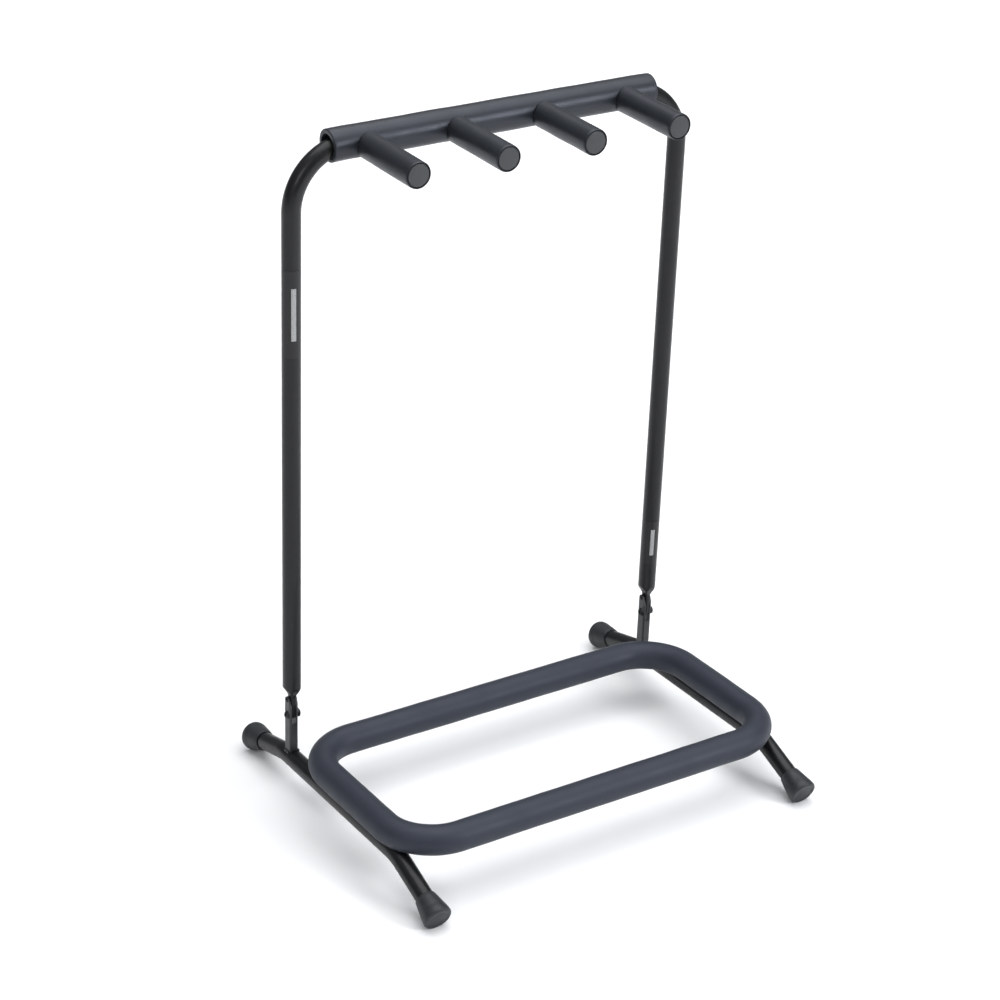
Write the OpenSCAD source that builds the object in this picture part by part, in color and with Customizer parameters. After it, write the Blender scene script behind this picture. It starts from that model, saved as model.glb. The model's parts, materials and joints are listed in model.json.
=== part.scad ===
// Folding guitar rack: a welded base of two bent legs under a padded resting loop, and an
// upright bent-tube frame with padded neck arms that folds forward on two pivot bolts.
// +X is the rack's right, -Y its front (the side the arms point to), +Z up.
// The origin is on the floor, at the centre of the footprint.

/* [Tubing] */
// Outside diameter of the leg, loop and frame tubes
tube_d = 17; // [14:0.5:18]
// Wall thickness of all the steel tubes
tube_wall = 1.2; // [1:0.1:1.6]
// Distance between the centre lines of the two uprights
frame_w = 400; // [380:5:600]

/* [Base legs] */
// Length of a leg's straight part in front of the hinge
leg_front = 195.2; // [190:1:230]
// Length of a leg's straight part behind the hinge
leg_rear = 11.6; // [11:0.5:40]
// Upward tilt of the legs and loop towards the front, in degrees
base_tilt = 2; // [0:0.5:4]
// Length of the bent-down front end, from the bend to the foot's face
front_end = 75; // [60:1:90]
// Length of the bent-down rear end, from the bend to the foot's face
rear_end = 67.5; // [60:1:90]
// How far the front end points below the horizontal, in degrees
front_droop = 20; // [16:1:26]
// Centre-line radius of the leg bends
leg_bend_r = 50; // [40:1:55]

/* [Resting loop] */
// Distance from the hinge line forward to the loop's front rail
loop_front = 220.6; // [210:1:260]
// Distance from the hinge line forward to the loop's rear rail
loop_rear = 25; // [24:0.5:40]
// Centre-line radius of the loop's corners
loop_corner_r = 48; // [40:1:60]
// Outside diameter of the loop's foam
loop_foam_d = 27.6; // [22:0.2:29]
// Fit-up gap between a leg and the loop tube above it
weld_gap = 0.4; // [0.2:0.1:0.6]

/* [Upright frame] */
// Height of the top bar's centre line above the leg's centre line
frame_h = 596; // [450:1:700]
// Centre-line radius of the frame's two top bends
top_bend_r = 55; // [45:1:65]
// Outside diameter of the foam sleeve on the top bar
sleeve_d = 29.2; // [24:0.2:32]
// Half the length of the foam sleeve
sleeve_half = 161; // [150:1:165]

/* [Neck arms] */
// Number of arms
arm_count = 4; // [4:4]
// Distance between neighbouring arms
arm_pitch = 88; // [70:1:90]
// Length of an arm, from the top bar's centre line to its end cap's face
arm_len = 95; // [70:1:110]
// How far an arm's axis lies below the top bar's centre line
arm_drop = 1.4; // [0:0.2:1.8]
// Outside diameter of an arm's foam
arm_foam_d = 24; // [20:0.2:26]
// Outside diameter of an arm's steel tube
arm_tube_d = 12; // [10:0.5:13]

/* [Hinges] */
// Height of the pivot bolt's axis above the top of the leg
pivot_rise = 38.5; // [36:0.5:50]
// Thickness of the flattened end of an upright
blade_t = 4.2; // [3.4:0.2:4.4]
// Front-to-back width of the flattened end
blade_w = 9; // [8.4:0.2:9.2]
// Side clearance between the flattened end and each bracket ear
ear_gap = 0.2; // [0.1:0.05:0.4]
// Sheet thickness of the hinge brackets
bracket_t = 2.2; // [1.8:0.1:2.4]
// Front-to-back depth of the hinge brackets
bracket_d = 9.5; // [9.5:0.5:12]
// Diameter of the pivot bolt
bolt_d = 5; // [4:0.5:5.5]
// Radial clearance of the flattened end on the pivot bolt
pivot_clearance = 0.06; // [0.02:0.01:0.1]

/* [Feet] */
// Largest diameter of a rubber foot
foot_d = 27; // [24:0.5:30]
// Length of a rubber foot
foot_len = 24.7; // [22:0.5:30]
// Depth of the flat that each foot rests on, below its round rim
foot_flat = 0.7; // [0.4:0.1:1]

/* [Hidden] */
$fn = 96;
// A small overlap that lets cuts pass cleanly through a face
eps = 0.02;
cut = 1;
// How far a tube's straight runs lap into its bends, and how much fatter the bends are
lap = 0.5;
bend_swell = 0.03;
// Clearance between foam and the tube inside it
foam_gap = 0.15;

tube_r = tube_d / 2;
bore_r = tube_r - tube_wall;
half_w = frame_w / 2;
foot_r = foot_d / 2;

// The rear end droops just enough for all four feet to stand on one floor
rim_r = 2.5;
face_r = foot_r - rim_r;
front_drop = (front_end - rim_r) * sin(front_droop) + face_r * cos(front_droop) + rim_r
    - leg_front * sin(base_tilt);
rear_drop = front_drop - leg_rear * sin(base_tilt) - rim_r;
rear_droop = asin(rear_drop / norm([rear_end - rim_r, face_r])) - atan2(face_r, rear_end - rim_r);
front_bend = front_droop + base_tilt;
rear_bend = rear_droop - base_tilt;
leg_z = front_drop - foot_flat;

// The footprint runs from the front feet's faces to the rear feet's faces
front_reach = leg_front * cos(base_tilt) + front_end * cos(front_droop) - rim_r * cos(front_droop)
    + face_r * sin(front_droop) + rim_r;
rear_reach = leg_rear * cos(base_tilt) + rear_end * cos(rear_droop) - rim_r * cos(rear_droop)
    + face_r * sin(rear_droop) + rim_r;
hinge_y = (front_reach - rear_reach) / 2;

// Foot profile, measured from its face back along the leg
foot_floor = 5;
foot_bore_r = tube_r + 0.05;
foot_mouth_r = tube_r + 1;
foot_shoulder = 7;

loop_rise = tube_d + weld_gap;
loop_foam_r = loop_foam_d / 2;
// The foam is slit open this far each side of the leg, over the welds
slit_half = 5.9;
weld_r = 1.7;
weld_len = 14;
weld_side = 3.9;
weld_spread = 36;

pivot_z = leg_z + tube_r + pivot_rise;
top_z = leg_z + frame_h;
top_bar_half = half_w - top_bend_r;
sleeve_r = sleeve_d / 2;
sleeve_wrap = asin((sleeve_half - top_bar_half) / top_bend_r);

blade_r = blade_w / 2;
blade_top = 18.4;
taper_top = 31.2;
taper_foot = blade_top - 1.5;

bracket_w = blade_t + 2 * (ear_gap + bracket_t);
bracket_back = 4.8;
bracket_front = bracket_back - bracket_d;
slot_depth = 9.5;
bolt_r = bolt_d / 2;
ear_bore_r = bolt_r + 0.1;
bracket_corner_r = 2;
bolt_head_r = 4.2;
bolt_head_h = 3;
socket_d = 3;
socket_depth = 1.6;
bolt_tail = 0.4;
nut_af = 8;
nut_h = 2.3;
nut_collar_r = 3.4;
nut_collar_h = 0.7;

stop_r = 1.5;
stop_rise = 15.2;
stop_y = 1.6;
stop_head_r = 2.7;
stop_head_h = 1.4;
lobe_r = 3.2;
ear_front_top = 8;
ear_back_top = 12;
// The notch in the flattened end that the stop rivet nests in, as an arc about the pivot
notch_gap = 0.12;
notch_r = norm([stop_y, stop_rise]);
notch_start = atan2(stop_y, stop_rise);
notch_sweep = 30;

arm_foam_r = arm_foam_d / 2;
arm_tube_r = arm_tube_d / 2;
cap_t = 1.6;
cap_edge = 0.8;
cap_inset = 1.6;
cap_stem_len = 12;
cap_stem_gap = 0.05;
arm_x = [for (i = [0:arm_count - 1]) (i - (arm_count - 1) / 2) * arm_pitch];

label_t = 0.25;
label_gap = 0.05;
left_label_z = 441;
left_label_h = 81;
right_label_z = 135;
right_label_h = 47;
left_label_arc = 120;
right_label_arc = 96;
// Both labels are centred on the front left of their post
label_facing = 242;

// ---- Placing ----

// Moves its children into the tilted frame of the legs and the loop
module in_base() {
    translate([0, hinge_y, leg_z]) rotate([-base_tilt, 0, 0]) children();
}

// Moves its children to a hinge's pivot axis on the chosen side (-1 left, 1 right)
module at_pivot(side) {
    translate([side * half_w, hinge_y, pivot_z]) children();
}

// Moves its children to the root of arm number i, with +Z along the arm
module at_arm(i) {
    translate([arm_x[i], hinge_y, top_z - arm_drop]) rotate([90, 0, 0]) children();
}

// ---- Shared shapes ----

// A bar that starts at the origin and runs along +Y
module bar_y(length, r) {
    rotate([-90, 0, 0]) cylinder(h = length, r = r);
}

// A bend that starts at the origin heading +Y and turns down by the given angle.
// It is a hair fatter than the straight runs, which lap into it at both ends.
module bend_down(angle, bend_r, r) {
    translate([0, 0, -bend_r]) rotate([0, -90, 0]) rotate_extrude(angle = angle)
        translate([bend_r, 0]) circle(r = r + bend_swell);
}

// Moves its children to the end of a leg's drooping limb, with +Y along the limb
module past_bend(angle) {
    translate([0, 0, -leg_bend_r]) rotate([-angle, 0, 0]) translate([0, 0, leg_bend_r]) children();
}

function bend_tangent(angle) = leg_bend_r * tan(angle / 2);

module leg_run(r, spare) {
    y0 = -leg_front + bend_tangent(front_bend);
    y1 = leg_rear - bend_tangent(rear_bend);
    front_run = front_end - bend_tangent(front_bend) - foot_floor + spare;
    rear_run = rear_end - bend_tangent(rear_bend) - foot_floor + spare;
    translate([0, y0 - lap, 0]) bar_y(y1 - y0 + 2 * lap, r);
    translate([0, y0, 0]) mirror([0, 1, 0]) {
        bend_down(front_bend, leg_bend_r, r);
        past_bend(front_bend) translate([0, -lap, 0]) bar_y(front_run + lap, r);
    }
    translate([0, y1, 0]) {
        bend_down(rear_bend, leg_bend_r, r);
        past_bend(rear_bend) translate([0, -lap, 0]) bar_y(rear_run + lap, r);
    }
}

// The closed rounded rectangle of the loop, lying in its own plane
module loop_run(r) {
    side_len = loop_front - loop_rear - 2 * loop_corner_r;
    rail_len = frame_w - 2 * loop_corner_r;
    mid_y = -(loop_front + loop_rear) / 2;
    translate([0, mid_y, 0]) {
        for (side = [-1, 1])
            translate([side * half_w, -side_len / 2, 0]) bar_y(side_len, r);
        for (side = [-1, 1])
            translate([-rail_len / 2, side * (side_len / 2 + loop_corner_r), 0])
                rotate([0, 90, 0]) cylinder(h = rail_len, r = r);
        for (quarter = [0:3])
            translate([
                (quarter == 0 || quarter == 3 ? 1 : -1) * rail_len / 2,
                (quarter < 2 ? 1 : -1) * side_len / 2,
                0
            ]) rotate([0, 0, 90 * quarter]) rotate_extrude(angle = 90)
                translate([loop_corner_r, 0]) circle(r = r);
    }
}

// ---- Base ----

module leg(side) {
    color("#26282a") in_base() translate([side * half_w, 0, 0]) difference() {
        leg_run(tube_r, 0);
        leg_run(bore_r, cut);
    }
}

module loop_tube() {
    color("#2b2d2f") in_base() translate([0, 0, loop_rise]) difference() {
        loop_run(tube_r);
        loop_run(bore_r);
    }
}

// Foam round the loop, slit along the underside where each leg is welded to the tube
module loop_foam() {
    slit_y = -(loop_front + loop_rear) / 2;
    slit_len = loop_front - loop_rear - 2 * loop_corner_r;
    color("#3d4048") in_base() difference() {
        translate([0, 0, loop_rise]) difference() {
            loop_run(loop_foam_r);
            loop_run(tube_r + foam_gap);
        }
        for (side = [-1, 1]) translate([side * half_w, 0, 0]) {
            leg_run(tube_r + 2 * foam_gap, 0);
            translate([0, slit_y, loop_rise / 2])
                cube([2 * slit_half, slit_len, loop_rise], center = true);
        }
    }
}

// Short weld beads in the groove between each leg and the loop, and at the bracket feet
module base_welds() {
    color("#1c1d1e") in_base() for (side = [-1, 1]) translate([side * half_w, 0, 0]) {
        for (edge = [-1, 1], step = [-1:1]) loop_bead(edge, step * weld_spread);
        for (edge = [-1, 1]) bracket_bead(edge);
    }
}

module loop_bead(edge, along) {
    mid_y = -(loop_front + loop_rear) / 2 + along;
    difference() {
        translate([edge * weld_side, mid_y - weld_len / 2, loop_rise / 2]) bar_y(weld_len, weld_r);
        for (z = [0, loop_rise])
            translate([0, mid_y - weld_len, z]) bar_y(2 * weld_len, tube_r + eps);
    }
}

module bracket_bead(edge) {
    bead_len = bracket_d - 1.5;
    foot_z = sqrt(pow(tube_r, 2) - pow(bracket_w / 2, 2));
    translate([0, (bracket_front + bracket_back) / 2, 0]) difference() {
        translate([edge * bracket_w / 2, -bead_len / 2, foot_z]) bar_y(bead_len, weld_r);
        translate([0, -bead_len, 0]) bar_y(2 * bead_len, tube_r + eps);
        translate([-bracket_w / 2 - eps, -bead_len, 0])
            cube([bracket_w + 2 * eps, 2 * bead_len, tube_d]);
    }
}

// ---- Feet ----

// A flared rubber foot with its face at the origin and +Y pointing out of the face
module foot_shape() {
    rotate([-90, 0, 0]) difference() {
        rotate_extrude() {
            translate([face_r, -rim_r]) circle(r = rim_r);
            polygon([
                [0, -foot_len], [foot_mouth_r, -foot_len], [foot_r - 0.7, -foot_shoulder],
                [foot_r, -rim_r], [face_r, -rim_r], [face_r, 0], [0, 0]
            ]);
        }
        translate([0, 0, -foot_len - cut]) cylinder(h = foot_len - foot_floor + cut, r = foot_bore_r);
    }
}

// A foot on the front (1) or rear (0) end of a leg, with its underside cut flat at the floor
module foot(side, front) {
    angle = front == 1 ? front_bend : rear_bend;
    run = (front == 1 ? front_end : rear_end) - bend_tangent(angle);
    start = front == 1 ? leg_front - bend_tangent(angle) : leg_rear - bend_tangent(angle);
    color("#202124") difference() {
        in_base() translate([side * half_w, 0, 0]) mirror([0, front, 0])
            translate([0, start, 0]) past_bend(angle) translate([0, run, 0]) foot_shape();
        translate([side * half_w - foot_d, -frame_h, -foot_d]) cube([2 * foot_d, 2 * frame_h, foot_d]);
    }
}

// ---- Hinges ----

// Side outline of a bracket ear: X is front to back, Y is height above the pivot
module ear_outline(below) {
    reach = norm([stop_y - bracket_front, stop_rise - ear_front_top]);
    slope = atan2(stop_rise - ear_front_top, stop_y - bracket_front) + asin(lobe_r / reach);
    tangent = [stop_y, stop_rise] + lobe_r * [-sin(slope), cos(slope)];
    translate([stop_y, stop_rise]) circle(r = lobe_r);
    polygon([
        [bracket_front, -below], [bracket_back, -below], [bracket_back, ear_back_top],
        [stop_y + lobe_r, stop_rise], [stop_y, stop_rise], tangent, [bracket_front, ear_front_top]
    ]);
}

// Section of the folded channel from above: rounded front corners, open at the back
module channel_section() {
    inside = blade_t + 2 * ear_gap;
    corner_x = bracket_w / 2 - bracket_corner_r;
    difference() {
        union() {
            translate([-bracket_w / 2, bracket_front + bracket_corner_r])
                square([bracket_w, bracket_d - bracket_corner_r]);
            translate([-corner_x, bracket_front]) square([2 * corner_x, bracket_d]);
            for (side = [-1, 1])
                translate([side * corner_x, bracket_front + bracket_corner_r])
                    circle(r = bracket_corner_r);
        }
        translate([-inside / 2, bracket_front + bracket_t]) square([inside, 2 * bracket_d]);
    }
}

// A folded U bracket: closed at the front, open at the back, with a slot for the flattened end
module hinge_bracket(side) {
    below = pivot_rise + tube_r;
    color("#3a3c3e") difference() {
        at_pivot(side) difference() {
            intersection() {
                rotate([90, 0, 90]) translate([0, 0, -bracket_w])
                    linear_extrude(height = 2 * bracket_w) ear_outline(below);
                translate([0, 0, -2 * below]) linear_extrude(height = 4 * below) channel_section();
            }
            // The slot through the closed front
            translate([-blade_t / 2 - ear_gap, bracket_front - cut, -slot_depth])
                cube([blade_t + 2 * ear_gap, bracket_d, below]);
            across(ear_bore_r, bracket_w + 2 * cut);
            translate([0, stop_y, stop_rise]) across(stop_r + 0.05, bracket_w + 2 * cut);
        }
        in_base() translate([side * half_w, -bracket_d, 0]) bar_y(2 * bracket_d, tube_r + eps);
    }
}

// A round bar along X, centred on the origin
module across(r, length) {
    rotate([0, 90, 0]) translate([0, 0, -length / 2]) cylinder(h = length, r = r);
}

// Button-head bolt with a hex socket; its head is on the left of the hinge
module pivot_bolt(side) {
    shank_len = bracket_w + nut_h + nut_collar_h + bolt_tail;
    dome_r = (pow(bolt_head_r, 2) + pow(bolt_head_h, 2)) / (2 * bolt_head_h);
    color("#6d6f70") at_pivot(side) translate([-bracket_w / 2, 0, 0]) rotate([0, 90, 0]) {
        translate([0, 0, -eps]) cylinder(h = shank_len + eps, r = bolt_r);
        difference() {
            intersection() {
                translate([0, 0, dome_r - bolt_head_h]) sphere(r = dome_r);
                translate([0, 0, -bolt_head_h - cut]) cylinder(h = bolt_head_h + cut, r = bolt_head_r);
            }
            translate([0, 0, -bolt_head_h - cut])
                cylinder(h = socket_depth + cut, r = socket_d / sqrt(3), $fn = 6);
        }
    }
}

// Hex nut with a nylon-insert collar, on the right of the hinge
module lock_nut(side) {
    color("#55585a") at_pivot(side) translate([bracket_w / 2, 0, 0]) rotate([0, 90, 0]) difference() {
        union() {
            cylinder(h = nut_h, r = nut_af / sqrt(3), $fn = 6);
            translate([0, 0, nut_h]) cylinder(h = nut_collar_h, r = nut_collar_r);
        }
        translate([0, 0, -cut]) cylinder(h = nut_h + nut_collar_h + 2 * cut, r = bolt_r + eps);
    }
}

// Domed rivet across the bracket's ears, which nests in a notch in the flattened end's back edge
module stop_rivet(side) {
    dome_r = (pow(stop_head_r, 2) + pow(stop_head_h, 2)) / (2 * stop_head_h);
    color("#4c4e50") at_pivot(side) translate([0, stop_y, stop_rise]) {
        across(stop_r, bracket_w + 2 * eps);
        for (end = [0, 1]) mirror([end, 0, 0]) translate([bracket_w / 2, 0, 0]) rotate([0, 90, 0])
            intersection() {
                translate([0, 0, stop_head_h - dome_r]) sphere(r = dome_r);
                cylinder(h = stop_head_h + cut, r = stop_head_r);
            }
    }
}

// ---- Upright frame ----

// Flattened lower end of an upright, from the pivot up to the round tube
module crushed_end() {
    // The tube pressed in from its sides and, less, from front and back
    intersection() {
        cylinder(h = taper_top + tube_wall / 2, r = tube_r);
        pressed(blade_t / 2, tube_r);
        rotate([0, 0, 90]) pressed(blade_r, tube_r);
    }
    difference() {
        rotate([90, 0, 90]) translate([0, 0, -blade_t / 2]) linear_extrude(height = blade_t) {
            circle(r = blade_r);
            translate([-blade_r, 0]) square([blade_w, blade_top]);
        }
        stop_notch();
    }
}

// The path of the stop rivet through the back edge of the flattened end as the frame folds
module stop_notch() {
    translate([0, stop_y, stop_rise]) across(stop_r + notch_gap, 2 * blade_t);
    rotate([90, 0, 90]) translate([0, 0, -blade_t]) rotate([0, 0, 90 - notch_start - notch_sweep])
        rotate_extrude(angle = notch_sweep) translate([notch_r - stop_r - notch_gap, 0])
            square([2 * (stop_r + notch_gap), 2 * blade_t]);
}

// A wedge that is narrow at the blade and as wide as the tube at the top of the taper
module pressed(narrow, wide) {
    rotate([90, 0, 0]) translate([0, 0, -tube_d]) linear_extrude(height = 2 * tube_d) polygon([
        [-narrow, taper_foot], [narrow, taper_foot], [narrow, blade_top], [wide, taper_top],
        [wide, taper_top + tube_wall], [-wide, taper_top + tube_wall], [-wide, taper_top],
        [-narrow, blade_top]
    ]);
}

module frame_run(r, foot_z) {
    for (side = [-1, 1]) {
        translate([side * half_w, 0, foot_z]) cylinder(h = top_z - top_bend_r - foot_z + lap, r = r);
        translate([side * top_bar_half, 0, top_z]) mirror([side < 0 ? 1 : 0, 0, 0])
            rotate([0, 0, -90]) bend_down(90, top_bend_r, r);
    }
    translate([0, 0, top_z]) across(r, 2 * top_bar_half + 2 * lap);
}

module upright_frame() {
    color("#232527") difference() {
        union() {
            translate([0, hinge_y, 0]) difference() {
                frame_run(tube_r, pivot_z + taper_top);
                frame_run(bore_r, pivot_z + taper_top + tube_wall);
            }
            for (side = [-1, 1]) at_pivot(side) crushed_end();
        }
        for (side = [-1, 1]) at_pivot(side) across(bolt_r + pivot_clearance, 2 * blade_t);
    }
}

// The sleeve's outline round the top bar, wrapping a little way into both bends
module sleeve_run(r) {
    across(r, 2 * top_bar_half + 2 * lap);
    for (side = [0, 1]) mirror([side, 0, 0]) translate([top_bar_half, 0, 0])
        rotate([0, 0, -90]) bend_down(sleeve_wrap, top_bend_r, r);
}

module top_sleeve_foam() {
    color("#34373c") difference() {
        translate([0, hinge_y, top_z]) sleeve_run(sleeve_r);
        translate([0, hinge_y, 0]) frame_run(tube_r + foam_gap, pivot_z);
        for (i = [0:arm_count - 1]) at_arm(i)
            cylinder(h = 2 * sleeve_r, r = arm_tube_r + foam_gap);
    }
}

// ---- Neck arms ----

module arm_tube(i) {
    color("#2b2d2f") at_arm(i) difference() {
        cylinder(h = arm_len - cap_t, r = arm_tube_r);
        translate([0, 0, -cut]) cylinder(h = arm_len, r = arm_tube_r - tube_wall);
        translate([0, arm_drop, 0]) across(tube_r + eps, arm_pitch);
    }
}

module arm_foam(i) {
    color("#36393e") at_arm(i) difference() {
        cylinder(h = arm_len - cap_t - foam_gap, r = arm_foam_r);
        translate([0, 0, -cut]) cylinder(h = arm_len, r = arm_tube_r + foam_gap);
        translate([0, arm_drop, 0]) across(sleeve_r + foam_gap, arm_pitch);
    }
}

// End cap: a disc over the foam's end on a stem pushed into the arm tube
module arm_cap(i) {
    stem_r = arm_tube_r - tube_wall - cap_stem_gap;
    disc_r = arm_foam_r - cap_inset;
    color("#1f2022") at_arm(i) {
        translate([0, 0, arm_len - cap_t]) rotate_extrude() {
            square([disc_r, cap_t - cap_edge]);
            square([disc_r - cap_edge, cap_t]);
            translate([disc_r - cap_edge, cap_t - cap_edge]) circle(r = cap_edge);
        }
        translate([0, 0, arm_len - cap_t - cap_stem_len]) cylinder(h = cap_stem_len, r = stem_r);
    }
}

// ---- Labels ----

// A thin blank label wrapped part of the way round a post
module post_label(side, from_z, height, arc) {
    inner = tube_r + label_gap;
    color("#141516") translate([side * half_w, hinge_y, from_z])
        rotate([0, 0, label_facing - arc / 2]) rotate_extrude(angle = arc)
            translate([inner, 0]) square([label_t, height]);
}

leg(-1);  // left_leg
leg(1);  // right_leg
loop_tube();
loop_foam();
base_welds();
foot(-1, 1);  // front_left_foot
foot(1, 1);  // front_right_foot
foot(-1, 0);  // rear_left_foot
foot(1, 0);  // rear_right_foot
hinge_bracket(-1);  // left_hinge_bracket
hinge_bracket(1);  // right_hinge_bracket
pivot_bolt(-1);  // left_pivot_bolt
pivot_bolt(1);  // right_pivot_bolt
lock_nut(-1);  // left_lock_nut
lock_nut(1);  // right_lock_nut
stop_rivet(-1);  // left_stop_rivet
stop_rivet(1);  // right_stop_rivet
upright_frame();
top_sleeve_foam();
arm_tube(0);  // arm_tube_1
arm_tube(1);  // arm_tube_2
arm_tube(2);  // arm_tube_3
arm_tube(3);  // arm_tube_4
arm_foam(0);  // arm_foam_1
arm_foam(1);  // arm_foam_2
arm_foam(2);  // arm_foam_3
arm_foam(3);  // arm_foam_4
arm_cap(0);  // arm_cap_1
arm_cap(1);  // arm_cap_2
arm_cap(2);  // arm_cap_3
arm_cap(3);  // arm_cap_4
post_label(-1, left_label_z, left_label_h, left_label_arc);  // left_post_label
post_label(1, right_label_z, right_label_h, right_label_arc);  // right_post_label
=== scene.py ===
"""Looks and rebuilt soft pieces of a folding guitar rack, in metres, in the CAD part's own frame."""

import json
import math

import bmesh
import bpy
import numpy as np
from mathutils import Matrix, Quaternion, Vector, noise


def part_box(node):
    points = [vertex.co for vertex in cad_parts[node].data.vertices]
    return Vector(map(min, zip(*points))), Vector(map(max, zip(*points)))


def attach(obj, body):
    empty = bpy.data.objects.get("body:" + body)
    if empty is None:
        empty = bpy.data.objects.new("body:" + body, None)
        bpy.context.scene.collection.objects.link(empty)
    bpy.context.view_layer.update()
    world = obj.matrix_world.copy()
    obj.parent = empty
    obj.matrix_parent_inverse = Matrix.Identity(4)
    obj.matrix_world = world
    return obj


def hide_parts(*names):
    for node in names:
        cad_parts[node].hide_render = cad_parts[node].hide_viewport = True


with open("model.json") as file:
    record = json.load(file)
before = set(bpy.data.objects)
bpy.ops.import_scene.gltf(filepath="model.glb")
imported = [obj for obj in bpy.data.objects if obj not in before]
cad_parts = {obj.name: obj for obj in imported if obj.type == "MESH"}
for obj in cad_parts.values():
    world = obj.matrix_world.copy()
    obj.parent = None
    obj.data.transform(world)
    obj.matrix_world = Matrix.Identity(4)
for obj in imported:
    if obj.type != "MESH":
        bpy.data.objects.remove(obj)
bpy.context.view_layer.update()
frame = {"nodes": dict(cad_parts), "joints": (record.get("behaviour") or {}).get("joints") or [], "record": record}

MM = 0.001
X_AXIS = Vector((1, 0, 0))
Y_AXIS = Vector((0, 1, 0))
Z_AXIS = Vector((0, 0, 1))
SIDES = {"left": -1, "right": 1}
TUBE_STEPS = 72
# Radius of the tiny disc that closes a turned piece at its middle
TINY = 0.02 * MM


# ---- Sizes read from the CAD frame ----


def span(node):
    low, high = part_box(node)
    return high - low


def middle(node):
    low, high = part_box(node)
    return (high + low) / 2


tube_r = span("left_leg").x / 2
half_w = middle("right_leg").x
pivot = Vector(frame["joints"][0]["pos_m"])
top_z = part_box("upright_frame")[1].z - tube_r

weld_gap = 0.4 * MM
loop_rise = 2 * tube_r + weld_gap
loop_corner_r = 48 * MM
loop_tilt = math.atan2(span("loop_tube").z - 2 * tube_r, span("loop_tube").y - 2 * tube_r)
loop_depth = (span("loop_tube").y - 2 * tube_r) / math.cos(loop_tilt)
loop_foam_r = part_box("loop_foam")[1].x - half_w
loop_mid_y = (middle("loop_tube").y - pivot.y - loop_rise * math.sin(loop_tilt)) / math.cos(loop_tilt)
leg_z = middle("loop_tube").z + loop_mid_y * math.sin(loop_tilt) - loop_rise * math.cos(loop_tilt)
in_base = Matrix.Translation((0, pivot.y, leg_z)) @ Matrix.Rotation(-loop_tilt, 4, "X")

foot_r = span("front_left_foot").x / 2
foot_rim = 2.5 * MM
foot_len = 24.7 * MM
foot_floor = 5 * MM
leg_bend_r = 50 * MM
# How far each end of a leg points below the horizontal, and its length from bend to foot face
front_droop = math.radians(20)
front_end = 75 * MM
rear_droop = math.radians(15.45)
rear_end = 67.5 * MM

top_bend_r = 55 * MM
sleeve_r = span("top_sleeve_foam").y / 2
sleeve_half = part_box("top_sleeve_foam")[1].x

arm_numbers = range(1, 5)
arm_foam_r = span("arm_foam_1").x / 2
arm_tube_r = span("arm_tube_1").x / 2
arm_tip_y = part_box("arm_cap_1")[0].y
arm_z = middle("arm_cap_1").z

# The flattened lower end of an upright, heights measured from the pivot
blade_half_t = 2.1 * MM
blade_r = pivot.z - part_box("upright_frame")[0].z
blade_top = 18.4 * MM
taper_top = 31.2 * MM
bore_r = 2.56 * MM
notch_r = 1.62 * MM
notch_sweep = math.radians(30)


# ---- Paths and skins ----


def rounded_path(corners, radius, step, closed=False):
    """Points along straight runs, with every inner corner rounded to an arc."""
    count = len(corners)
    stretches = []
    for i, here in enumerate(corners):
        if not closed and i in (0, count - 1):
            stretches.append([here])
            continue
        back = (corners[i - 1] - here).normalized()
        ahead = (corners[(i + 1) % count] - here).normalized()
        turn = math.pi - back.angle(ahead)
        centre = here + (back + ahead).normalized() * radius / math.cos(turn / 2)
        start = here + back * radius * math.tan(turn / 2) - centre
        axis = ahead.cross(back)
        pieces = max(8, math.ceil(radius * turn / step))
        stretches.append(
            [centre + Quaternion(axis, turn * k / pieces) @ start for k in range(pieces + 1)]
        )
    path = []
    for i, stretch in enumerate(stretches):
        path += stretch
        if i < count - 1 or closed:
            start, end = stretch[-1], stretches[(i + 1) % count][0]
            pieces = max(1, round((end - start).length / step))
            path += [start.lerp(end, k / pieces) for k in range(1, pieces)]
    return path


def circle(radius, steps):
    return [
        (radius * math.cos(2 * math.pi * k / steps), radius * math.sin(2 * math.pi * k / steps))
        for k in range(steps)
    ]


def skin(name, rings, closed=False, sharp=35):
    """A mesh through rings of points, with UVs in metres: U along the rings, V around them."""
    steps = len(rings[0])
    points = [p for ring in rings for p in ring]
    along = [0.0]
    around = [0.0]
    for i in range(1, len(rings) + 1):
        along.append(along[-1] + (rings[i % len(rings)][0] - rings[i - 1][0]).length)
    widest = max(rings, key=lambda ring: (ring[0] - ring[steps // 2]).length)
    for k in range(1, steps + 1):
        around.append(around[-1] + (widest[k % steps] - widest[k - 1]).length)
    faces = []
    uvs = []
    for i in range(len(rings) if closed else len(rings) - 1):
        j = (i + 1) % len(rings)
        for k in range(steps):
            n = (k + 1) % steps
            faces.append((i * steps + k, i * steps + n, j * steps + n, j * steps + k))
            uvs += [
                (along[i], around[k]),
                (along[i], around[k + 1]),
                (along[i + 1], around[k + 1]),
                (along[i + 1], around[k]),
            ]
    if not closed:
        for ring, order in ((0, -1), (len(rings) - 1, 1)):
            faces.append(tuple(ring * steps + k for k in range(steps))[::order])
            uvs += [(0, 0)] * steps
    mesh = bpy.data.meshes.new(name)
    mesh.from_pydata(points, [], faces)
    layer = mesh.uv_layers.new(name="along")
    for loop, uv in zip(layer.data, uvs):
        loop.uv = uv
    piece = bpy.data.objects.new(name, mesh)
    bpy.context.scene.collection.objects.link(piece)
    finish_surface(piece, sharp)
    return piece


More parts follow.
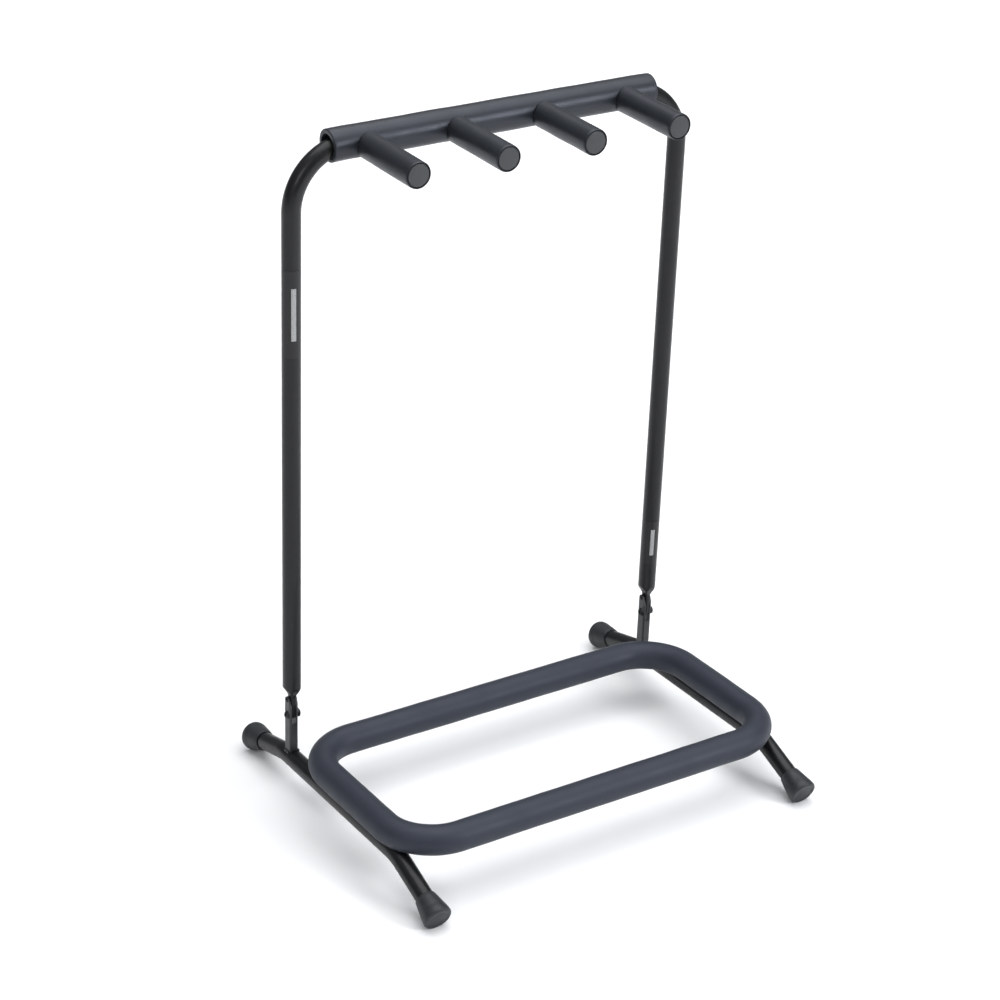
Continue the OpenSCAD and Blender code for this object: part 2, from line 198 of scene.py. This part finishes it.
def finish_surface(piece, sharp):
    """Outward normals, smooth shading and sharp edges at folds tighter than the given angle."""
    work = bmesh.new()
    work.from_mesh(piece.data)
    bmesh.ops.recalc_face_normals(work, faces=work.faces)
    for face in work.faces:
        face.smooth = True
    for edge in work.edges:
        edge.smooth = edge.calc_face_angle(0) < math.radians(sharp)
    work.to_mesh(piece.data)
    work.free()


def sweep(name, path, across, outline, closed=False, sharp=35):
    """A skin round a flat path. across is square to its plane; outline(i) is the section there."""
    rings = []
    for i, here in enumerate(path):
        before = path[i - 1] if closed or i > 0 else here
        after = path[(i + 1) % len(path)] if closed or i < len(path) - 1 else here
        side = (after - before).cross(across).normalized()
        rings.append([here + side * u + across * v for u, v in outline(i)])
    return skin(name, rings, closed, sharp)


def lathe(name, profile, place, steps=96, sharp=35):
    """A turned piece. The profile's points are (radius, height); place puts its +Z axis."""
    shape = circle(1, steps)
    rings = [[place @ Vector((r * c, r * s, h)) for c, s in shape] for r, h in profile]
    return skin(name, rings, False, sharp)


def arc(centre, radius, start, end, pieces=8):
    """Points (radius, height) along an arc of a lathe's profile, angles in degrees."""
    angles = [math.radians(start + (end - start) * k / pieces) for k in range(pieces + 1)]
    return [(centre[0] + radius * math.cos(a), centre[1] + radius * math.sin(a)) for a in angles]


def quarter_turn(pieces):
    """Angles from 0 to 90 degrees, in radians."""
    return [math.pi / 2 * k / pieces for k in range(pieces + 1)]


def smooth_step(t):
    t = min(max(t, 0), 1)
    return t * t * (3 - 2 * t)


def waver(piece, size, amount, share=lambda place: 1):
    """Moves a foam piece's points a hair along their normals, as foam is never quite even."""
    normals = [v.normal.copy() for v in piece.data.vertices]
    for v, normal in zip(piece.data.vertices, normals):
        v.co += normal * amount * share(v.co) * noise.noise(v.co / size)


def stand_in(piece, body, slot, node, look=None):
    """The piece takes its CAD node's place on the body, in the slot's look unless told otherwise."""
    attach(piece, body)
    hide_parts(node)
    piece.data.materials.append((look or LOOKS[slot])())


# ---- Materials ----


class Look:
    """A procedural material whose coordinates are the rack's own metres."""

    def __init__(self, name):
        self.material = bpy.data.materials.new(name)
        self.material.use_nodes = True
        self.tree = self.material.node_tree
        self.shader = self.tree.nodes["Principled BSDF"]
        source = self.tree.nodes.new("ShaderNodeTexCoord")
        self.place = source.outputs["Object"]
        self.along = source.outputs["UV"]

    def join(self, value, socket):
        if isinstance(value, bpy.types.NodeSocket):
            self.tree.links.new(value, socket)
        else:
            socket.default_value = value

    def set(self, **values):
        for name, value in values.items():
            self.join(value, self.shader.inputs[name.replace("_", " ")])

    def stretch(self, coords, scale):
        node = self.tree.nodes.new("ShaderNodeMapping")
        self.join(coords, node.inputs["Vector"])
        node.inputs["Scale"].default_value = scale
        return node.outputs["Vector"]

    def noise(self, size, detail=2.0, coords=None):
        node = self.tree.nodes.new("ShaderNodeTexNoise")
        self.join(coords or self.place, node.inputs["Vector"])
        node.inputs["Scale"].default_value = 1 / size
        node.inputs["Detail"].default_value = detail
        return node.outputs["Fac"]

    def cells(self, size):
        node = self.tree.nodes.new("ShaderNodeTexVoronoi")
        self.join(self.place, node.inputs["Vector"])
        node.inputs["Scale"].default_value = 1 / size
        return node.outputs["Distance"]

    def remap(self, value, low, high, to_low, to_high):
        node = self.tree.nodes.new("ShaderNodeMapRange")
        self.join(value, node.inputs["Value"])
        limits = {"From Min": low, "From Max": high, "To Min": to_low, "To Max": to_high}
        for name, number in limits.items():
            node.inputs[name].default_value = number
        return node.outputs["Result"]

    def math(self, kind, a, b=0.0):
        node = self.tree.nodes.new("ShaderNodeMath")
        node.operation = kind
        self.join(a, node.inputs[0])
        self.join(b, node.inputs[1])
        return node.outputs[0]

    def tint(self, amount, first, second):
        node = self.tree.nodes.new("ShaderNodeMix")
        node.data_type = "RGBA"
        self.join(amount, node.inputs["Factor"])
        self.join(first, node.inputs[6])
        self.join(second, node.inputs[7])
        return node.outputs[2]

    def bump(self, height, depth, below=None, strength=1.0):
        node = self.tree.nodes.new("ShaderNodeBump")
        node.inputs["Distance"].default_value = depth
        node.inputs["Strength"].default_value = strength
        self.join(height, node.inputs["Height"])
        if below is not None:
            self.join(below, node.inputs["Normal"])
        self.join(node.outputs["Normal"], self.shader.inputs["Normal"])
        return node.outputs["Normal"]

    def distance(self):
        """How far a point is from the object's origin."""
        node = self.tree.nodes.new("ShaderNodeVectorMath")
        node.operation = "LENGTH"
        self.join(self.place, node.inputs[0])
        return node.outputs["Value"]

    def axis(self, letter):
        node = self.tree.nodes.new("ShaderNodeSeparateXYZ")
        self.join(self.place, node.inputs[0])
        return node.outputs[letter]

    def edges(self):
        """Above 0.5 on outer edges, about 0.5 on flat faces."""
        node = self.tree.nodes.new("ShaderNodeNewGeometry")
        return node.outputs["Pointiness"]


made = {}


def once(build):
    """Each material is made one time and shared."""

    def get():
        if build.__name__ not in made:
            made[build.__name__] = build().material
        return made[build.__name__]

    return get


def grey(level, blue):
    """A grey that turns cooler as blue rises above 1."""
    return (level, level * (1 + 0.4 * (blue - 1)), level * blue, 1)


@once
def powder_coat():
    look = Look("powder_coat")
    patches = look.noise(35 * MM, 3)
    peel = look.noise(1.3 * MM, 1.5)
    grain = look.noise(0.28 * MM, 1)
    dust = look.remap(look.noise(9 * MM, 4), 0.55, 0.8, 0, 0.35)
    colour = look.tint(patches, grey(0.003, 1.2), grey(0.006, 1.2))
    look.set(
        Base_Color=look.tint(dust, colour, grey(0.013, 1.1)),
        Roughness=look.remap(look.noise(6 * MM, 3), 0.3, 0.7, 0.3, 0.4),
        Specular_IOR_Level=0.3,
        Coat_Weight=0.1,
        Coat_Roughness=0.12,
    )
    look.bump(grain, 0.012 * MM, look.bump(peel, 0.05 * MM))
    return look


@once
def bracket_coat():
    look = Look("bracket_coat")
    patches = look.noise(14 * MM, 3)
    scuffs = look.remap(look.noise(1.1 * MM, 5), 0.6, 0.72, 0, 0.6)
    edge = look.remap(look.edges(), 0.52, 0.62, 0, 0.55)
    worn = look.math("MAXIMUM", look.math("MULTIPLY", scuffs, 0.4), edge)
    colour = look.tint(patches, grey(0.02, 1.2), grey(0.03, 1.2))
    look.set(
        Base_Color=look.tint(worn, colour, grey(0.1, 1.03)),
        Roughness=look.remap(patches, 0.3, 0.7, 0.38, 0.5),
        Metallic=look.math("MULTIPLY", worn, 0.5),
    )
    look.bump(look.noise(0.3 * MM, 1), 0.012 * MM, look.bump(look.noise(1.2 * MM, 2), 0.05 * MM))
    return look


@once
def dark_zinc():
    look = Look("dark_zinc")
    blotches = look.noise(2.5 * MM, 4)
    scratches = look.noise(0.5 * MM, 3, look.stretch(look.place, (0.25, 1, 4)))
    look.set(
        Base_Color=look.tint(blotches, grey(0.02, 1.15), grey(0.05, 1.1)),
        Roughness=look.remap(scratches, 0.3, 0.7, 0.18, 0.34),
        Metallic=0.8,
    )
    look.bump(scratches, 0.02 * MM)
    return look


@once
def weld_bead():
    look = Look("weld_bead")
    ripple = look.noise(1.3 * MM, 3, look.stretch(look.place, (0.3, 1, 0.3)))
    look.set(
        Base_Color=look.tint(ripple, grey(0.012, 1.1), grey(0.03, 1.1)),
        Roughness=look.remap(ripple, 0.3, 0.7, 0.35, 0.55),
    )
    look.bump(ripple, 0.5 * MM)
    return look


def foam_look(name, pit, dark, light, rough):
    """Closed-cell foam with fine pores and faint lines left by the extruder."""
    look = Look(name)
    clouds = look.noise(22 * MM, 4)
    pores = look.remap(look.cells(0.55 * MM), 0.05, 0.45, 0, 1)
    fine = look.noise(0.35 * MM, 2)
    draw_lines = look.noise(1.6 * MM, 2, look.stretch(look.along, (0.04, 1, 1)))
    colour = look.tint(clouds, dark, light)
    look.set(
        Base_Color=look.tint(look.math("MULTIPLY", pores, 0.5), pit, colour),
        Roughness=look.remap(look.math("ADD", fine, clouds), 0.7, 1.3, rough, rough + 0.16),
        Specular_Tint=(0.82, 0.86, 1, 1),
        Sheen_Weight=0.04,
        Sheen_Roughness=0.4,
    )
    below = look.bump(draw_lines, 0.05 * MM)
    below = look.bump(pores, 0.02 * MM, below)
    look.bump(fine, 0.03 * MM, below)
    return look


@once
def foam():
    dark, light = (0.021, 0.024, 0.04, 1), (0.029, 0.033, 0.052, 1)
    return foam_look("foam", grey(0.016, 1.5), dark, light, 0.48)


@once
def smooth_foam():
    """The denser, darker foam of the sleeve and the arms."""
    dark, light = grey(0.008, 1.6), grey(0.014, 1.6)
    return foam_look("smooth_foam", grey(0.006, 1.5), dark, light, 0.34)


@once
def foot_rubber():
    look = Look("foot_rubber")
    bloom = look.noise(7 * MM, 4)
    grit = look.noise(0.4 * MM, 3)
    near_floor = look.remap(look.axis("Z"), 0.0, 4 * MM, 1, 0)
    colour = look.tint(bloom, grey(0.009, 1.35), grey(0.018, 1.35))
    look.set(
        Base_Color=look.tint(look.math("MULTIPLY", near_floor, 0.35), colour, grey(0.035, 0.97)),
        Roughness=look.remap(bloom, 0.3, 0.7, 0.42, 0.6),
    )
    look.bump(grit, 0.03 * MM, look.bump(look.noise(2.2 * MM, 2), 0.06 * MM))
    return look


@once
def cap_plastic():
    look = Look("cap_plastic")
    cloud = look.noise(5 * MM, 3)
    spark = look.noise(0.3 * MM, 2)
    look.set(
        Base_Color=look.tint(cloud, grey(0.022, 1.2), grey(0.034, 1.2)),
        Roughness=look.remap(cloud, 0.3, 0.7, 0.38, 0.5),
    )
    look.bump(spark, 0.03 * MM)
    return look


def between(look, value, low, high):
    """1 where the value lies between the two limits, else 0."""
    above = look.math("GREATER_THAN", value, low)
    return look.math("MULTIPLY", above, look.math("LESS_THAN", value, high))


@once
def label_film():
    """Blank film with one plain pale bar down its middle."""
    look = Look("label_film")
    marks = None
    for side in SIDES:
        low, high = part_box(f"{side}_post_label")
        height = high.z - low.z
        mid_x = (high.x + low.x) / 2
        half = 0.16 * (high.x - low.x)
        tall = between(look, look.axis("Z"), low.z + 0.2 * height, high.z - 0.2 * height)
        wide = between(look, look.axis("X"), mid_x - half, mid_x + half)
        bar = look.math("MULTIPLY", tall, wide)
        marks = bar if marks is None else look.math("MAXIMUM", marks, bar)
    fade = look.math("MULTIPLY", marks, look.remap(look.noise(1.2 * MM, 4), 0.25, 0.5, 0.45, 0.8))
    look.set(
        Base_Color=look.tint(fade, grey(0.006, 1.1), grey(0.42, 1.02)),
        Roughness=look.remap(look.noise(5 * MM, 3), 0.3, 0.7, 0.28, 0.38),
        Specular_IOR_Level=0.36,
        Coat_Weight=0.1,
    )
    look.bump(look.noise(2 * MM, 2), 0.02 * MM)
    return look


LOOKS = {
    "black_steel": powder_coat,
    "bracket_steel": bracket_coat,
    "bolt_steel": dark_zinc,
    "weld": weld_bead,
    "foam": foam,
    "foot_rubber": foot_rubber,
    "cap_plastic": cap_plastic,
    "label_film": label_film,
}


def dress_cad_nodes():
    """Every CAD node takes its slot's material, with soft edges on the small pressed parts."""
    bevels = {"bracket_steel": 0.3 * MM, "bolt_steel": 0.18 * MM}
    for part in frame["record"]["subparts"]:
        node = frame["nodes"][part["node"]]
        slot = part["material_slot"]
        node.data.materials.clear()
        node.data.materials.append(LOOKS[slot]())
        if slot in bevels:
            weld = node.modifiers.new("weld", "WELD")
            weld.merge_threshold = 0.001 * MM
            bevel = node.modifiers.new("bevel", "BEVEL")
            bevel.width = bevels[slot]
            bevel.segments = 2
            bevel.angle_limit = math.radians(40)


# ---- Steel tubes ----


def leg_corners(side):
    """A leg's path in the world: foot face, front bend, rear bend, foot face."""
    face_r = foot_r - foot_rim

    def reach(droop, end):
        return (end - foot_rim) * math.cos(droop) + face_r * math.sin(droop) + foot_rim

    name = {-1: "left", 1: "right"}[side]
    front_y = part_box(f"front_{name}_foot")[0].y + reach(front_droop, front_end)
    rear_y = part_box(f"rear_{name}_foot")[1].y - reach(rear_droop, rear_end)

    def on_leg(y):
        return Vector((side * half_w, y, leg_z - (y - pivot.y) * math.tan(loop_tilt)))

    front = on_leg(front_y)
    rear = on_leg(rear_y)
    front_face = front + front_end * Vector((0, -math.cos(front_droop), -math.sin(front_droop)))
    rear_face = rear + rear_end * Vector((0, math.cos(rear_droop), -math.sin(rear_droop)))
    return [front_face, front, rear, rear_face]


def build_leg(name, side):
    corners = leg_corners(side)
    corners[0] = corners[0].lerp(corners[1], foot_floor / front_end)
    corners[3] = corners[3].lerp(corners[2], foot_floor / rear_end)
    path = rounded_path(corners, leg_bend_r, 2 * MM)
    piece = sweep(f"{name}_leg_tube", path, X_AXIS, lambda i: circle(tube_r, TUBE_STEPS))
    stand_in(piece, "base", "black_steel", f"{name}_leg")


def blade_outline(height):
    """Section of an upright at a height above the pivot: a crushed blade that opens to a tube."""
    opening = smooth_step((height - blade_top) / (taper_top - blade_top))
    half_x = blade_half_t + (tube_r - blade_half_t) * opening
    half_y = blade_r + (tube_r - blade_r) * opening
    if height < 0:
        half_y = math.sqrt(max(blade_r**2 - height**2, (0.6 * MM) ** 2))
    power = 2 / (2 + 5 * (1 - opening))
    dent = 1.3 * MM * math.sin(math.pi * opening)
    outline = []
    for c, s in circle(1, TUBE_STEPS):
        y = half_y * math.copysign(abs(s) ** power, s)
        x = half_x * math.copysign(abs(c) ** power, c)
        x -= math.copysign(dent * math.exp(-((y / (0.45 * tube_r)) ** 2)) * abs(c), x)
        outline.append((x, y))
    return outline


def build_upright():
    corners = [
        Vector((-half_w, pivot.y, pivot.z - blade_r)),
        Vector((-half_w, pivot.y, top_z)),
        Vector((half_w, pivot.y, top_z)),
        Vector((half_w, pivot.y, pivot.z - blade_r)),
    ]
    crush = taper_top + 6 * MM
    tip_rows = 12
    crush_rows = 60
    tip = [corners[0] + Z_AXIS * blade_r * (1 - math.cos(a)) for a in quarter_turn(tip_rows)[:-1]]
    rise = [corners[0] + Z_AXIS * (blade_r + crush * k / crush_rows) for k in range(crush_rows)]
    left_end = tip + rise
    right_end = [Vector((-p.x, p.y, p.z)) for p in reversed(left_end)]
    run = rounded_path(corners, top_bend_r, 2 * MM)
    path = left_end + [p for p in run if p.z > pivot.z + crush] + right_end

    def outline(i):
        height = path[i].z - pivot.z
        return blade_outline(height) if height < crush else circle(tube_r, TUBE_STEPS)

    piece = sweep("upright_tube", path, Y_AXIS, outline)
    for side in SIDES.values():
        cut_blade(piece, side)
    finish_surface(piece, 35)
    stand_in(piece, "upper_frame", "black_steel", "upright_frame")


def subtract(piece, cutter):
    tool = piece.modifiers.new("cut", "BOOLEAN")
    tool.operation = "DIFFERENCE"
    tool.solver = "EXACT"
    tool.object = cutter
    bpy.context.view_layer.update()
    result = piece.evaluated_get(bpy.context.evaluated_depsgraph_get())
    shaped = bpy.data.meshes.new_from_object(result)
    piece.modifiers.clear()
    piece.data = shaped
    bpy.data.objects.remove(cutter)


def cut_blade(piece, side):
    """The pivot bore, and the notch that the stop rivet nests in, open at the blade's back edge."""
    rivet = middle("left_stop_rivet") - Vector((-half_w, pivot.y, pivot.z))
    swing = math.hypot(rivet.y, rivet.z)
    start = math.atan2(rivet.y, rivet.z)
    deep = 4 * blade_half_t
    at = Vector((side * half_w, pivot.y, pivot.z))
    across = Matrix.Rotation(math.pi / 2, 4, "Y")
    for centre, radius in ((at, bore_r), (at + Vector((0, rivet.y, rivet.z)), notch_r)):
        place = Matrix.Translation(centre) @ across
        subtract(piece, lathe("cutter", [(radius, -deep), (radius, deep)], place, 48))
    pieces = 16
    turns = [start + notch_sweep * k / pieces for k in range(pieces + 1)]
    path = [at + Vector((0, math.sin(a), math.cos(a))) * swing for a in turns]
    bar = [(-notch_r, -deep), (notch_r, -deep), (notch_r, deep), (-notch_r, deep)]
    subtract(piece, sweep("cutter", path, X_AXIS, lambda i: bar))


# ---- Foam ----


def near_path(points, path):
    """For each point of an array, the closest point of a path of straight pieces."""
    points = np.array(points, float)
    best = np.zeros_like(points)
    nearest = np.full(len(points), np.inf)
    for a, b in zip(path, path[1:]):
        start, run = np.array(a), np.array(b - a)
        t = np.clip((points - start) @ run / (run @ run), 0, 1)
        spots = start + t[:, None] * run
        gaps = np.linalg.norm(points - spots, axis=1)
        closer = gaps < nearest
        best[closer] = spots[closer]
        nearest[closer] = gaps[closer]
    return [Vector(spot) for spot in best]


def build_loop_foam():
    """The foam round the resting loop, pressed open where it lies on the legs."""
    half_y = loop_depth / 2
    corners = [
        in_base @ Vector((x, loop_mid_y + y, loop_rise))
        for x, y in ((-half_w, -half_y), (half_w, -half_y), (half_w, half_y), (-half_w, half_y))
    ]
    path = rounded_path(corners, loop_corner_r, 2.5 * MM, closed=True)
    up = in_base.to_3x3() @ Z_AXIS
    piece = sweep("loop_foam_cover", path, up, lambda i: circle(loop_foam_r, 80), closed=True)
    waver(piece, 28 * MM, 0.25 * MM)
    clearance = tube_r + 0.3 * MM
    lip_width = 3.2 * MM
    lip = 0.55 * MM
    reach = clearance + lip_width
    for side in SIDES.values():
        leg = rounded_path(leg_corners(side), leg_bend_r, 8 * MM)
        close = [v for v in piece.data.vertices if abs(v.co.x - side * half_w) < reach]
        normals = [v.normal.copy() for v in close]
        for v, normal, spot in zip(close, normals, near_path([v.co for v in close], leg)):
            away = v.co - spot
            depth = away.length
            if depth < clearance:
                v.co = spot + away * clearance / depth
            elif depth < reach:
                v.co += normal * lip * (1 - (depth - clearance) / lip_width) ** 2
    finish_surface(piece, 50)
    stand_in(piece, "base", "foam", "loop_foam")


def ring(centre, axis, radius):
    """A ring of points square to a near-X axis that lies in the XZ plane."""
    up = axis.cross(Y_AXIS).normalized()
    return [centre + Y_AXIS * u + up * v for u, v in circle(radius, 80)]


def build_sleeve():
    """The thick sleeve on the top bar: cut square, and too stiff to follow the tube's bends."""
    bar_half = half_w - top_bend_r
    edge = 1.1 * MM
    mouth_r = tube_r + 2.2 * MM
    bore = mouth_r - 0.3 * MM
    follow = 0.12

    def centre(x):
        past = max(abs(x) - bar_half, 0)
        sag = top_bend_r - math.sqrt(top_bend_r**2 - past**2)
        return Vector((x, pivot.y, top_z - follow * sag))

    def axis(x):
        return (centre(x + 0.1 * MM) - centre(x - 0.1 * MM)).normalized()

    reach = sleeve_half - edge
    rows = 150
    body = [(-reach + 2 * reach * k / rows, sleeve_r) for k in range(1, rows)]
    corner = [(edge * (1 - math.cos(a)), edge * (1 - math.sin(a))) for a in quarter_turn(6)]
    left = [(-sleeve_half + u, sleeve_r - v) for u, v in corner]
    right = [(sleeve_half - u, sleeve_r - v) for u, v in reversed(corner)]
    face_rows = 4
    rim = sleeve_r - edge
    face = [rim - (rim - mouth_r) * k / face_rows for k in range(1, face_rows + 1)]
    throat = sleeve_half - 0.6 * MM
    inner_rows = 60
    inside = [(throat - 2 * throat * k / inner_rows, bore) for k in range(inner_rows + 1)]
    stations = left + body + right + [(sleeve_half, r) for r in face] + inside
    stations += [(-sleeve_half, r) for r in reversed(face)]
    rings = [ring(centre(x), axis(x), r) for x, r in stations]
    piece = skin("top_sleeve", rings, closed=True, sharp=60)

    def share(place):
        return 1 if abs(place.x) < sleeve_half - 4 * MM else 0.3

    waver(piece, 30 * MM, 0.3 * MM, share)
    finish_surface(piece, 60)
    stand_in(piece, "upper_frame", "foam", "top_sleeve_foam", smooth_foam)


def build_arm_foam(i):
    """An arm's foam: coped onto the sleeve at its root, with a rounded shoulder round the end cap."""
    shoulder = 2.2 * MM
    cap_r = arm_foam_r - 1.05 * MM
    seat = 2.4 * MM
    length = pivot.y - arm_tip_y
    root_lift = 0.25 * MM
    round_r = 1.1 * MM
    bore = arm_tube_r + 0.2 * MM
    # Points (radius, distance from the sleeve's front): rounded root, long side, shoulder, seat, bore
    profile = []
    for a in quarter_turn(6):
        root_r = arm_foam_r - round_r * (1 - math.sin(a))
        profile.append((root_r, root_lift + round_r * (1 - math.cos(a))))
    rows = 40
    far = length - sleeve_r - shoulder - 0.5 * MM
    near = root_lift + round_r
    profile += [(arm_foam_r, near + (far - near) * k / rows) for k in range(1, rows)]
    depth = arm_foam_r - cap_r - 0.25 * MM
    for a in quarter_turn(8):
        profile.append((arm_foam_r - depth * (1 - math.cos(a)), far + shoulder * math.sin(a)))
    lip = far + shoulder
    profile += [(cap_r + 0.1 * MM, lip - 0.35 * MM), (cap_r + 0.05 * MM, lip - seat)]
    profile += [(arm_tube_r + 1.0 * MM, lip - seat), (bore, lip - seat - 0.3 * MM)]
    profile += [(bore, root_lift + 1.0 * MM)]
    centre_x = middle(f"arm_tube_{i}").x
    rings = []
    for r, q in profile:
        share = min(max(q / (length - sleeve_r), 0), 1)
        points = []
        for c, s in circle(1, TUBE_STEPS):
            z = r * s
            off_bar = z + arm_z - top_z
            cope = math.sqrt(max(sleeve_r**2 - off_bar**2, 0)) - sleeve_r
            y = pivot.y - sleeve_r - q - cope * (1 - share) ** 3
            points.append(Vector((centre_x + r * c, y, arm_z + z)))
        rings.append(points)
    piece = skin(f"arm_{i}_foam", rings, closed=True, sharp=60)

    def share(place):
        """The foam wavers along the arm, but not at its root or round its cap."""
        from_root = smooth_step((pivot.y - place.y - sleeve_r) / (8 * MM))
        return 0.8 * from_root if place.y > arm_tip_y + 6 * MM else 0

    waver(piece, 24 * MM, 0.22 * MM, share)
    finish_surface(piece, 60)
    stand_in(piece, "upper_frame", "foam", f"arm_foam_{i}", smooth_foam)


# ---- Moulded pieces ----


def build_arm_cap(i):
    """The plug in an arm's end: a plain low dome on a stem inside the tube."""
    disc_r = span(f"arm_cap_{i}").x / 2 - 0.15 * MM
    edge = 0.8 * MM
    dome = 0.7 * MM
    thick = 2.0 * MM

    def crown(r):
        return -dome * (r / disc_r) ** 2

    profile = [(TINY, crown(0))]
    flat_r = disc_r - edge
    profile += [(flat_r * k / 8, crown(flat_r * k / 8)) for k in range(1, 8)]
    profile += arc((flat_r, crown(flat_r) - edge), edge, 90, 0)
    stem = arm_tube_r - 1.3 * MM
    profile += [(disc_r, -thick), (stem, -thick), (stem, -12 * MM)]
    profile += [(stem - 1 * MM, -13 * MM), (TINY, -13 * MM)]
    tip = Matrix.Translation((middle(f"arm_tube_{i}").x, arm_tip_y, arm_z))
    place = tip @ Matrix.Rotation(math.pi / 2, 4, "X")
    piece = lathe(f"arm_{i}_plug", profile, place, 72, 30)
    stand_in(piece, "upper_frame", "cap_plastic", f"arm_cap_{i}")


def build_foot(end, name, side):
    """A flared rubber foot, pushed over the leg's end and flattened where it stands."""
    corners = leg_corners(side)
    face, inner = (corners[0], corners[1]) if end == "front" else (corners[3], corners[2])
    outward = (face - inner).normalized()
    place = Matrix.Translation(face) @ outward.to_track_quat("Z", "X").to_matrix().to_4x4()
    face_r = foot_r - foot_rim
    mouth = tube_r + 1.1 * MM
    shoulder = foot_r - 0.35 * MM

    shoulder_h = 6.4 * MM

    def cone(h):
        return mouth + (shoulder - mouth) * (h + foot_len) / (foot_len - shoulder_h)

    # Points (radius, height from the face): a faint step in the face, the round rim, two grip
    # lines, the taper to the mouth, and the bore
    dish = 0.75 * face_r
    line_depth = 0.14 * MM
    profile = [(TINY, -0.15 * MM), (0.5 * dish, -0.2 * MM), (dish, -0.3 * MM)]
    profile += [(dish + 0.5 * MM, -0.32 * MM), (dish + 1.2 * MM, -0.1 * MM)]
    profile += arc((face_r, -foot_rim), foot_rim, 90, 0, 12)
    profile += [(foot_r - 0.1 * MM, -4.6 * MM), (shoulder, -shoulder_h)]
    for h in (-8.2 * MM, -10.4 * MM):
        profile += [(cone(h), h), (cone(h) - line_depth, h - 0.25 * MM)]
        profile += [(cone(h) - line_depth, h - 0.55 * MM), (cone(h - 0.8 * MM), h - 0.8 * MM)]
    profile += [(cone(-16 * MM), -16 * MM), (cone(-20 * MM), -20 * MM), (mouth, -foot_len + 0.5 * MM)]
    profile += [(mouth - 0.2 * MM, -foot_len + 0.1 * MM), (tube_r + 0.55 * MM, -foot_len)]
    profile += [(tube_r + 0.3 * MM, -foot_len + 0.5 * MM), (tube_r + 0.05 * MM, -foot_len + 3 * MM)]
    profile += [(tube_r + 0.05 * MM, -foot_floor), (TINY, -foot_floor)]
    piece = lathe(f"{end}_{name}_boot", profile, place, 112, 32)
    for v in piece.data.vertices:
        v.co.z = max(v.co.z, 0)
    stand_in(piece, "base", "foot_rubber", f"{end}_{name}_foot")


# ---- Stage ----


def build_stage():
    bpy.ops.mesh.primitive_plane_add(size=30, location=(0, 0, 0))
    floor = bpy.context.object
    floor.name = "floor"
    look = Look("floor_paper")
    look.set(Base_Color=(0.96, 0.96, 0.96, 1), Roughness=0.9, Specular_IOR_Level=0.1)
    # The paper glows towards its edges, where the lights no longer reach
    glow = look.remap(look.distance(), 0.7, 2.2, 0, 0.4)
    look.set(Emission_Color=(1, 1, 1, 1), Emission_Strength=glow)
    floor.data.materials.append(look.material)

    world = bpy.data.worlds.new("studio")
    world.use_nodes = True
    backdrop = world.node_tree.nodes["Background"]
    backdrop.inputs["Color"].default_value = (0.93, 0.96, 1, 1)
    # The studio is bright overhead and dim towards the horizon
    ways = world.node_tree.nodes.new("ShaderNodeTexCoord")
    parts = world.node_tree.nodes.new("ShaderNodeSeparateXYZ")
    fade = world.node_tree.nodes.new("ShaderNodeMapRange")
    fade.inputs["To Min"].default_value = 0.1
    fade.inputs["To Max"].default_value = 0.6
    world.node_tree.links.new(ways.outputs["Generated"], parts.inputs[0])
    world.node_tree.links.new(parts.outputs["Z"], fade.inputs["Value"])
    world.node_tree.links.new(fade.outputs["Result"], backdrop.inputs["Strength"])
    bpy.context.scene.world = world

    soft_light("overhead", (0.35, 0.15, 2.5), 2.8, 62, (0.985, 0.99, 1))
    soft_light("front", (1.5, -2.4, 1.5), 1.0, 46, (0.96, 0.975, 1))
    soft_light("left", (-1.9, -1.3, 1.7), 0.9, 9, (1, 1, 1))
    bpy.context.scene.view_settings.view_transform = "Standard"
    bpy.context.scene.view_settings.look = "None"


def soft_light(name, place, size, power, colour):
    """A square softbox that faces the middle of the rack."""
    data = bpy.data.lights.new(name, "AREA")
    data.size = size
    data.energy = power
    data.color = colour
    light = bpy.data.objects.new(name, data)
    light.location = place
    aim = Vector((0, 0, 0.3)) - Vector(place)
    light.rotation_euler = aim.to_track_quat("-Z", "Y").to_euler()
    bpy.context.scene.collection.objects.link(light)


def build_camera():
    """Stands off the rack's front left, looking down on it."""
    azimuth = math.radians(-33.36)
    elevation = math.radians(27.08)
    roll = math.radians(2.17)
    right = Vector((math.cos(azimuth), math.sin(azimuth), 0))
    away = Vector((math.sin(azimuth), -math.cos(azimuth), 0))
    back = away * math.cos(elevation) + Z_AXIS * math.sin(elevation)
    up = back.cross(right)
    turn = Matrix((
        right * math.cos(roll) + up * math.sin(roll),
        up * math.cos(roll) - right * math.sin(roll),
        back,
    )).transposed()
    data = bpy.data.cameras.new("camera")
    data.lens = 97.68
    data.sensor_width = 36
    camera = bpy.data.objects.new("camera", data)
    from_pivot = Vector((-1.2251, -1.894, 1.3274))
    camera.matrix_world = Matrix.Translation(pivot + from_pivot) @ turn.to_4x4()
    bpy.context.scene.collection.objects.link(camera)
    bpy.context.scene.camera = camera


# ---- Assembly ----

dress_cad_nodes()
for name, side in SIDES.items():
    build_leg(name, side)
    build_foot("front", name, side)
    build_foot("rear", name, side)
build_upright()
build_loop_foam()
build_sleeve()
for number in arm_numbers:
    build_arm_foam(number)
    build_arm_cap(number)
build_stage()
build_camera()
